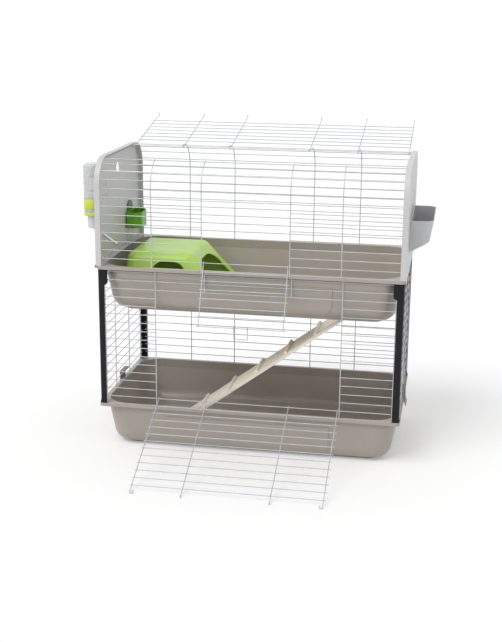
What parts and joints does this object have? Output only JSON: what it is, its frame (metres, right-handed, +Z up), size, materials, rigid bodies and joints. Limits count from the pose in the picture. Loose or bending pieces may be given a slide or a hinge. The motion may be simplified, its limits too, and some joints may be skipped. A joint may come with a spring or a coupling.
{
  "type": "small animal cage",
  "caption": "Two-storey wire cage with deep moulded trays, ramp door, roof flap, ladder, house, bowl, bottle and hay rack.",
  "frame": {"origin": "centre of the lower tray's foot, on the floor", "axes": "+X to the right along the length, +Y to the back, +Z up"},
  "size_m": [1.1353, 1.1099, 1.0454],
  "materials": {
    "tray": "satin moulded plastic",
    "post": "black powder coat",
    "wire": "light grey coated steel wire",
    "panel": "light grey moulded plastic",
    "lime": "lime moulded plastic",
    "green": "green moulded plastic",
    "dark_green": "dark green moulded plastic",
    "bottle": "translucent plastic",
    "cap": "pale grey plastic",
    "steel": "drawn steel tube",
    "rack": "silver grey plastic",
    "clip": "grey plastic",
    "wood": "plain pale wood"
  },
  "bodies": {
    "cage": {"lower_tray": "tray", "upper_tray": "tray", "post_front_left": "post", "post_front_right": "post", "post_rear_left": "post", "post_rear_right": "post", "lower_front_grid": "wire", "lower_rear_grid": "wire", "lower_left_grid": "wire", "lower_right_grid": "wire", "upper_front_grid": "wire", "upper_rear_grid": "wire", "left_panel": "panel", "right_panel": "panel", "bowl_bracket": "dark_green", "bottle_bracket": "cap", "corner_button": "clip"},
    "lower_door": {"lower_door": "wire"},
    "upper_door": {"upper_door": "wire"},
    "upper_door_catch": {"upper_door_catch": "wire"},
    "roof_lid": {"roof_lid": "wire"},
    "food_bowl": {"food_bowl": "green"},
    "bottle": {"bottle_body": "bottle", "bottle_cap": "cap", "bottle_spout": "steel", "bottle_ball": "steel"},
    "hay_rack": {"hay_rack": "rack"},
    "shelter": {"shelter": "lime"},
    "ladder": {"ladder_board": "wood", "ladder_cleats": "wood"},
    "left_clip": {"left_clip": "clip"},
    "right_clip": {"right_clip": "clip"}
  },
  "joints": [
    {"name": "lower_door_hinge", "type": "hinge", "parent": "cage", "child": "lower_door", "pos_m": [0, -0.2558, 0.18], "axis": [-1, 0, 0], "range_deg": [0, 115.1]},
    {"name": "upper_door_hinge", "type": "hinge", "parent": "cage", "child": "upper_door", "pos_m": [-0.008, -0.2603, 0.65], "axis": [-1, 0, 0], "range_deg": [0, 156.2]},
    {"name": "catch_hinge", "type": "hinge", "parent": "upper_door", "child": "upper_door_catch", "pos_m": [-0.008, -0.33702, 0.4611], "axis": [1, 0, 0], "range_deg": [-23, 60]},
    {"name": "lid_hinge", "type": "hinge", "parent": "cage", "child": "roof_lid", "pos_m": [0, 0.14199, 0.9673], "axis": [1, 0, 0], "range_deg": [0, 168.1]},
    {"name": "bowl_lift", "type": "slide", "parent": "cage", "child": "food_bowl", "axis": [0, 0, 1], "range_m": [0, 0.06]},
    {"name": "bottle_pull", "type": "slide", "parent": "cage", "child": "bottle", "axis": [-0.8387, 0, 0.5446], "range_m": [0, 0.06]},
    {"name": "rack_lift", "type": "slide", "parent": "cage", "child": "hay_rack", "axis": [0, 0, 1], "range_m": [0, 0.009]},
    {"name": "shelter_lift", "type": "slide", "parent": "cage", "child": "shelter", "axis": [0, 0, 1], "range_m": [0, 0.03]},
    {"name": "ladder_draw", "type": "slide", "parent": "cage", "child": "ladder", "axis": [0.8049, 0, 0.5934], "range_m": [0, 0.05]},
    {"name": "left_clip_pivot", "type": "hinge", "parent": "cage", "child": "left_clip", "pos_m": [-0.49305, 0.02, 0.1433], "axis": [0, -1, 0], "range_deg": [0, 35]},
    {"name": "right_clip_pivot", "type": "hinge", "parent": "cage", "child": "right_clip", "pos_m": [0.49305, 0.02, 0.1433], "axis": [0, 1, 0], "range_deg": [0, 35]}
  ]
}
